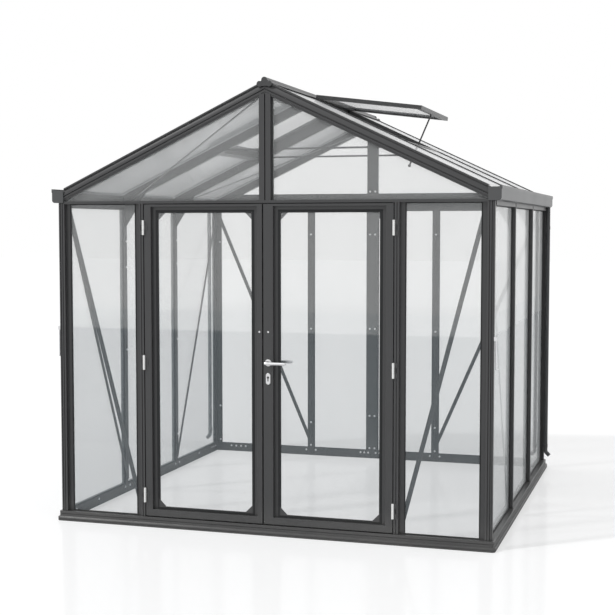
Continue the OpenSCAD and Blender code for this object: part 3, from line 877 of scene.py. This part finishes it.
@dataclass
class LeverLock:
    """Lever on both faces, its roses and the key plates."""
    layout: Layout
    rose: float = 0.020
    plate_half: float = 0.033
    plate_r: float = 0.0135
    thick: float = 0.0058
    handle_in: float = 0.006
    stations: tuple[Point, ...] = (
        (-0.0088, 0.002), (-0.0082, 0.0055), (-0.004, 0.0086), (0.004, 0.009), (0.016, 0.0089),
        (0.035, 0.0084), (0.070, 0.0083), (0.100, 0.0085), (0.113, 0.0080), (0.119, 0.0055),
        (0.1205, 0.002))

    def lever(self, x: float, z: float, low: float, high: float) -> None:
        """Build the spindle and both curved handles.

        Args:
            x: the spindle's place across the wall.
            z: its height.
            low: the front limit in depth.
            high: the rear limit in depth.
        """
        mesh = Mesh()
        inset = 2 * self.handle_in
        mesh.disc((x, low + inset, z), (0, 1, 0), ((0, 0.0079), (high - low - 2 * inset, 0.0079)),
                  24)
        angles = [2 * math.pi * i / 20 for i in range(20)]
        for y, turn in ((low + self.handle_in, 1), (high - self.handle_in, -1)):
            rings = []
            for along, r in self.stations:
                thick = min(r, self.thick)
                rings.append([(x + along, y + thick * math.sin(a) * turn, z + r * math.cos(a))
                              for a in angles])
            mesh.rings(rings)
            mesh.disc((x, y, z), (0, turn, 0), ((0, 0.0085), (0.01, 0.0108), (0.03, 0.0108),
                                               (0.036, 0.0125), (0.0395, 0.0125)), 24)
        mesh.finish("curved_lever", Body.LEVER, Slot.STEEL, "satin_steel", ("door_lever",), 0.0)

    def build(self) -> None:
        """Build the lever, the roses and the key plates."""
        low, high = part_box("door_lever")
        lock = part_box("right_door_lock")
        z = (low[2] + high[2]) / 2
        x = (lock[0][0] + lock[1][0]) / 2
        self.lever(x, z, low[1], high[1])
        key_z = lock[0][2] + self.plate_half
        mesh, keys = Mesh(), Mesh()
        for y, turn in ((0.0, -1), (self.layout.wall_t, 1)):
            mesh.disc((x, y, z), (0, turn, 0), ((0, self.rose), (0.004, self.rose),
                                               (0.0055, self.rose - 0.0015),
                                               (0.006, self.rose - 0.004)), 32)
            ring = []
            for centre, first in ((key_z + self.plate_half - self.plate_r, 0),
                                  (key_z - self.plate_half + self.plate_r, 180)):
                ring += [(self.plate_r * math.cos(math.radians(first + 15 * i)),
                          centre + self.plate_r * math.sin(math.radians(first + 15 * i)))
                         for i in range(13)]
            rings = []
            for out, shrink in ((0, 1.0), (0.0045, 1.0), (0.006, 0.86)):
                rings.append([(x + u * shrink, y + turn * out, key_z + (v - key_z) *
                               (1 - (1 - shrink) * 0.4)) for u, v in ring])
            mesh.rings(rings)
            # The keyholes are flat black shapes on the key plates: painted shade standing for the dark
            # inside of each hole.
            keys.disc((x, y + turn * 0.0058, key_z + 0.008), (0, turn, 0),
                      ((0, 0.0066), (0.0006, 0.0066)), 20)
            keys.box((x - 0.0028, y + turn * 0.0058, key_z - 0.014),
                     (x + 0.0028, y + turn * 0.0064, key_z + 0.008))
        mesh.finish("roses_and_key_plates", Body.RIGHT_DOOR, Slot.STEEL, "satin_steel",
                    ("right_door_lock",), 0.0)
        keys.sealed("keyholes", Body.RIGHT_DOOR)


@dataclass
class Hinges:
    """White hinge barrels, the jambs' knuckles with their pins and the leaves' knuckles."""
    radius: float = 0.0069
    pin: float = 0.003
    tall: float = 0.086
    slack: float = 0.0004
    pin_in: float = 0.025
    behind: float = 0.007

    def barrel(self, mesh: Mesh, x: float, y: float, z0: float, z1: float) -> None:
        """Add one knuckle with rounded rims.

        Args:
            mesh: the mesh to add to.
            x: the hinge line across the wall.
            y: the hinge line in depth.
            z0: the knuckle's foot.
            z1: its head.
        """
        r, rim, tall = self.radius, 0.0008, z1 - z0
        mesh.disc((x, y, z0), (0, 0, 1), ((0, r - rim), (rim, r), (tall - rim, r),
                                          (tall, r - rim)), 20)

    def flap(self, mesh: Mesh, side: int, x: float, y: float, z: Point) -> None:
        """Add the thin plate behind a knuckle.

        Args:
            mesh: the mesh to add to.
            side: 1 where the plate reaches to the right, -1 to the left.
            x: the hinge line across the wall.
            y: the hinge line in depth.
            z: the plate's foot and head.
        """
        mesh.box((x + side * self.pin, y + 0.004, z[0]),
                 (x + side * self.pin_in, y + 0.0069, z[1]))

    def build(self) -> None:
        """Build the barrels and the dark plates behind them."""
        low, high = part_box("hinge_pins")
        x, y = high[0] - self.pin_in, low[1] + self.behind
        half, third, slack = self.tall / 2, self.tall / 3, self.slack
        middles = (low[2] + half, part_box("door_lever")[0][2] - 0.012, high[2] - half)
        barrels, plates = Mesh(), Mesh()
        for side in (1, -1):
            for z in middles:
                for z0 in (z - half, z + third / 2):
                    self.barrel(barrels, side * x, y, z0, z0 + third)
                    self.flap(plates, side, side * x, y, (z0, z0 + third))
                barrels.disc((side * x, y, z - third / 2 - 0.001), (0, 0, 1),
                             ((0, self.pin), (third + 0.002, self.pin)), 12)
        barrels.finish("jamb_hinge_barrels", Body.FRAME, Slot.HINGE, "white_enamel",
                       ("hinge_pins",), 0.0)
        plates.coated("jamb_hinge_plates", edge=0.0003)
        for side, body in ((-1, Body.LEFT_DOOR), (1, Body.RIGHT_DOOR)):
            name = body.value
            knuckles, flaps = Mesh(), Mesh()
            for z in middles:
                ends = (z - third / 2 + slack, z + third / 2 - slack)
                self.barrel(knuckles, side * x, y, *ends)
                self.flap(flaps, -side, side * x, y, ends)
            knuckles.finish(f"{name}_hinge_barrels", body, Slot.HINGE, "white_enamel",
                            (f"{name}_hinges",), 0.0)
            flaps.coated(f"{name}_hinge_plates", body=body, edge=0.0003)


@dataclass
class GapSeals:
    """Black brush seals behind the gaps round the doors and where they meet."""
    layout: Layout
    depth: tuple[float, float] = (0.026, 0.0355)
    reach: float = 0.0032
    inset: float = 0.004
    meet_share: float = 0.6

    def build(self) -> None:
        """Build the seals on the jambs, the head, the sill and the left leaf."""
        y0, y1 = self.depth
        foot, head = self.layout.sill_h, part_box("front_head_rail")[0][2]
        left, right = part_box("left_door_frame"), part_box("right_door_frame")
        inner = self.layout.doorway_x
        mesh = Mesh()
        for side in (1, -1):
            mesh.box((side * inner, y0, foot), (side * (inner - self.reach), y1, head))
        span = inner - self.inset
        mesh.box((-span, y0, foot), (span, y1, foot + self.reach))
        mesh.box((-span, y0, head - self.reach), (span, y1, head))
        mesh.sealed("door_gap_seals")
        start, gap = left[1][0], right[0][0] - left[1][0]
        meet = Mesh().box((start - 0.0003, y0, left[0][2] + 0.002),
                          (start + gap * self.meet_share, y1, left[1][2] - 0.002))
        meet.sealed("meeting_seal", Body.LEFT_DOOR)


@dataclass
class RoofSheets:
    """Translucent roof sheets with a bright upper skin and a lower skin painted grey as shade on the
    underside.
    """
    layout: Layout
    below: float = 0.007
    thick: float = 0.011
    rafter_half: float = 0.0181

    def build(self) -> None:
        """Build the sheets of both slopes."""
        lay, half = self.layout, self.rafter_half
        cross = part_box("vent_crossbars")[1][0] + 0.0001
        for side, label in ((-1, "left"), (1, "right")):
            node = f"{label}_roof_sheets"
            low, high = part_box(node)
            inner = min(abs(low[0]), abs(high[0]))
            outer = max(abs(low[0]), abs(high[0]))
            mesh = Mesh()
            for y0, y1, x0 in ((low[1], lay.bay - half, inner),
                               (lay.bay + half, 2 * lay.bay - half, cross),
                               (2 * lay.bay + half, high[1], inner)):
                ring = [(side * x, lay.roof_z(x) - self.below - drop) for x, drop in
                        ((x0, 0), (outer, 0), (outer, self.thick), (x0, self.thick))]
                mesh.rings([[(x, y, z) for x, z in ring] for y in (y0, y1)])
            piece = mesh.finish(f"twin_wall_sheets_{label}", Body.FRAME, Slot.SHEET,
                                "roof_sheet", (node,), 0.0, False)
            # Downward faces take the darker underside finish, which is painted shade.
            piece.data.materials.append(FINISHES["roof_underside_painted_shade"])
            for face in piece.data.polygons:
                face.material_index = 1 if face.normal.z < -0.5 else 0


@dataclass
class PaneSeals:
    """Dark seals round the fixed wall panes."""
    layout: Layout
    width: float = 0.006
    faces: tuple[float, float] = (0.0241, 0.0279)

    def ring(self, mesh: Mesh, rect: Rect, place: Place) -> None:
        """Add the seals of one pane, outside and inside.

        Args:
            mesh: the mesh to add to.
            rect: the pane's opening.
            place: turns along, depth and height into a point.
        """
        for y, turn in zip(self.faces, (-1, 1)):
            mesh.rings([rect.grown(-self.width).loop(y, place),
                        rect.grown(-self.width + 0.001).loop(y + turn * 0.004, place),
                        rect.grown(-0.0002).loop(y + turn * 0.0055, place),
                        rect.grown(-0.0002).loop(y, place)], closed=True)

    def build(self) -> None:
        """Build the seals of the front lights, the side walls and the rear wall."""
        lay = self.layout
        bay, half, bar_x = lay.bay, lay.bar_half, lay.rear_bar_x
        front = Mesh()
        low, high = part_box("front_side_panes")
        for side in (1, -1):
            self.ring(front, Rect(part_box("door_jambs")[1][0], low[2], high[0], high[2]),
                      lambda x, y, z, s=side: (s * x, y, z))
        front.sealed("front_light_seals")
        low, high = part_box("right_wall_panes")
        bays = ((low[1], bay - half), (bay + half, 2 * bay - half), (2 * bay + half, high[1]))
        for side, label in ((1, "right"), (-1, "left")):
            wall = Mesh()
            for y0, y1 in bays:
                self.ring(wall, Rect(y0, low[2], y1, high[2]),
                          lambda x, y, z, s=side: (s * (lay.half_w - y), x, z))
            wall.sealed(f"{label}_wall_seals")
        rear = Mesh()
        low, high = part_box("rear_wall_panes")
        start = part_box("rear_mullion")[1][0]
        for side in (1, -1):
            for x0, x1 in ((start, bar_x - half), (bar_x + half, high[0])):
                self.ring(rear, Rect(x0, low[2], x1, high[2]),
                          lambda x, y, z, s=side: (s * x, lay.depth - y, z))
        rear.sealed("rear_wall_seals")


@dataclass
class Bolts:
    """Small plated bolts on the inner faces of the joints."""
    layout: Layout
    radius: float = 0.0075
    head: float = 0.0045
    foot_drop: float = 0.016
    bar_foot: tuple[float, ...] = (-0.038, 0.038)
    bar_rows: tuple[float, ...] = (0.022, 0.20, 0.93, 1.66)
    corner_foot: tuple[float, ...] = (0.12, 0.16, 0.20, 0.24)
    post_in: float = 0.028
    post_rows: tuple[float, ...] = (0.03, 0.30, 1.60)
    mullion_in: float = 0.020
    mullion_rows: tuple[float, ...] = (0.02, 0.27, 0.94, 1.66, 1.985)
    middle_foot: tuple[float, ...] = (0.03, 0.06, 0.09)
    side_foot: tuple[float, ...] = (-0.036, 0.036)
    side_rows: tuple[Point, ...] = ((0.012, 0.022), (0.009, 0.20), (0.009, 0.90), (0.009, 1.45),
                                    (0.009, 1.62))

    def bolt(self, mesh: Mesh, at: Triple, axis: Triple) -> None:
        """Add one domed bolt head.

        Args:
            mesh: the mesh to add to.
            at: its seat.
            axis: the direction it stands out in.
        """
        r, h = self.radius, self.head
        mesh.disc(at, axis, ((-0.0005, r), (h * 0.5, r), (h * 0.85, r * 0.7), (h, r * 0.25)), 10)

    def rear_wall(self, inner: float, foot: float) -> None:
        """Build the bolts of the rear wall.

        Args:
            inner: distance from the middle to a side wall's inner face.
            foot: the height of the bolts on the sill.
        """
        lay, mesh = self.layout, Mesh()
        bar_x, sill = lay.rear_bar_x, lay.sill_h
        for side in (1, -1):
            places = [(side * bar_x + dx, foot) for dx in self.bar_foot]
            places += [(side * bar_x, sill + dz) for dz in self.bar_rows]
            places += [(side * (inner - dx), foot) for dx in self.corner_foot]
            places += [(side * (inner - self.post_in), sill + dz) for dz in self.post_rows]
            places += [(side * self.mullion_in, sill + dz) for dz in self.mullion_rows]
            places += [(side * dx, foot) for dx in self.middle_foot]
            for x, z in places:
                self.bolt(mesh, (x, lay.depth - lay.wall_t, z), (0, -1, 0))
        mesh.plated("rear_wall_bolts")

    def build(self) -> None:
        """Build the bolts of the rear wall and the side walls."""
        lay = self.layout
        inner, foot = lay.half_w - lay.wall_t, lay.sill_h - self.foot_drop
        self.rear_wall(inner, foot)
        places = []
        for y in (lay.bay, 2 * lay.bay):
            places += [(y + dy, foot) for dy in self.side_foot]
            places += [(y + dy, lay.sill_h + dz) for dy, dz in self.side_rows]
        places += [(y, foot) for y in (
            0.08, 0.12, lay.bay * 0.5, lay.bay * 1.5, lay.bay * 2.5, lay.depth - 0.16,
            lay.depth - 0.12, lay.depth - 0.08)]
        for side, label in ((1, "right"), (-1, "left")):
            mesh = Mesh()
            for y, z in places:
                self.bolt(mesh, (side * inner, y, z), (-side, 0, 0))
            mesh.plated(f"{label}_wall_bolts")


# ----------------------------------------------------------------------- stage

@dataclass
class Studio:
    """Floor, lamps, world and camera."""
    sky: float = 0.66
    sun: float = 1.15
    sun_angle: float = 4.0
    lens: float = 73.4
    eye: Triple = (2.314, -6.754, 1.766)
    yaw: float = 16.97
    down: float = 3.62
    aim: Triple = (0.62, 0.52, -0.80)
    floor_half: float = 60.0
    floor_drop: float = 0.0005
    floor_white: float = 1.33
    white_share: float = 0.42
    gloss_share: float = 0.08

    def world(self) -> None:
        """Set an even pale sky that looks white to the eye and in reflections."""
        world = bpy.data.worlds.new("studio")
        bpy.context.scene.world = world
        world.use_nodes = True
        graph = Graph(world.node_tree)
        path = graph.node("ShaderNodeLightPath", out="Is Camera Ray")
        glossy = Val(graph, path.socket.node.outputs["Is Glossy Ray"])
        through = Val(graph, path.socket.node.outputs["Is Transmission Ray"])
        seen = graph.node("ShaderNodeMath", {"operation": "MAXIMUM"}, {0: path, 1: through})
        shown = graph.node("ShaderNodeMath", {"operation": "MAXIMUM"}, {0: seen, 1: glossy})
        strength = shown * (1.0 - self.sky) + self.sky
        sky = graph.node("ShaderNodeBackground", {}, {"Color": (1, 1, 1, 1),
                                                      "Strength": strength})
        graph.node("ShaderNodeOutputWorld", {}, {0: sky})

    def floor(self) -> None:
        """Lay a pale floor with a faint gloss that keeps the shadow."""
        material, graph, _ = new_graph("pale_floor")
        path = graph.node("ShaderNodeLightPath", out="Is Camera Ray")
        matt = graph.node("ShaderNodeBsdfDiffuse", {}, {"Color": (0.94, 0.945, 0.95, 1)})
        white = graph.node("ShaderNodeEmission", {}, {"Color": (1, 1, 1, 1),
                                                          "Strength": self.floor_white})
        gloss = graph.node("ShaderNodeBsdfGlossy", {}, {"Color": (1, 1, 1, 1),
                                                        "Roughness": 0.12})
        base = graph.node("ShaderNodeMixShader", {}, {0: path * self.white_share, 1: matt,
                                                      2: white})
        top = graph.node("ShaderNodeMixShader", {}, {0: self.gloss_share, 1: base, 2: gloss})
        graph.node("ShaderNodeOutputMaterial", {}, {0: top})
        data = bpy.data.meshes.new("floor")
        size = self.floor_half
        data.from_pydata([(-size, -size, 0), (size, -size, 0), (size, size, 0), (-size, size, 0)],
                         [], [(0, 1, 2, 3)])
        data.materials.append(material)
        floor = bpy.data.objects.new("floor", data)
        floor.location.z = -self.floor_drop
        bpy.context.scene.collection.objects.link(floor)

    def lamps(self) -> None:
        """Hang one soft sun in front of the house, up and to the left."""
        lamp = bpy.data.lights.new("key", "SUN")
        lamp.energy = self.sun
        lamp.angle = math.radians(self.sun_angle)
        key = bpy.data.objects.new("key", lamp)
        key.rotation_euler = Vector(self.aim).to_track_quat("-Z", "Y").to_euler()
        bpy.context.scene.collection.objects.link(key)

    def camera(self) -> None:
        """Set the camera at eye height, to the right of the doors."""
        data = bpy.data.cameras.new("eye")
        data.lens = self.lens
        data.sensor_width = 36.0
        data.clip_end = 200.0
        eye = bpy.data.objects.new("eye", data)
        eye.location = self.eye
        eye.rotation_euler = (math.radians(90 - self.down), 0, math.radians(self.yaw))
        bpy.context.scene.collection.objects.link(eye)
        bpy.context.scene.camera = eye

    def build(self) -> None:
        """Set up everything round the house."""
        self.world()
        self.floor()
        self.lamps()
        self.camera()
        bpy.context.scene.view_settings.view_transform = "Standard"


def dress_nodes() -> None:
    """Give every CAD node the finish of its slot."""
    slots = {part["node"]: part["material_slot"] for part in frame["record"]["subparts"]}
    for name, node in frame["nodes"].items():
        look = NODE_FINISH[Slot(slots[name])]
        if "vent_sheet" in name:
            look = "vent_sheet"
        node.data.materials.clear()
        node.data.materials.append(FINISHES[look])
        LOG.info("%s: %s", name, look)


def main() -> None:
    """Build the house, dress it and set the stage."""
    logging.basicConfig(level=logging.INFO, format="%(message)s")
    layout = Layout.from_frame()
    dress_nodes()
    BaseFrame(layout).build()
    WallPosts(layout).build()
    Roof(layout).build()
    Leaf(Body.LEFT_DOOR, 0.016).build()
    Leaf(Body.RIGHT_DOOR, 0.030).build()
    LeverLock(layout).build()
    Hinges().build()
    GapSeals(layout).build()
    RoofSheets(layout).build()
    PaneSeals(layout).build()
    Bolts(layout).build()
    Studio().build()
    bpy.context.view_layer.update()


if __name__ == "__main__":
    main()
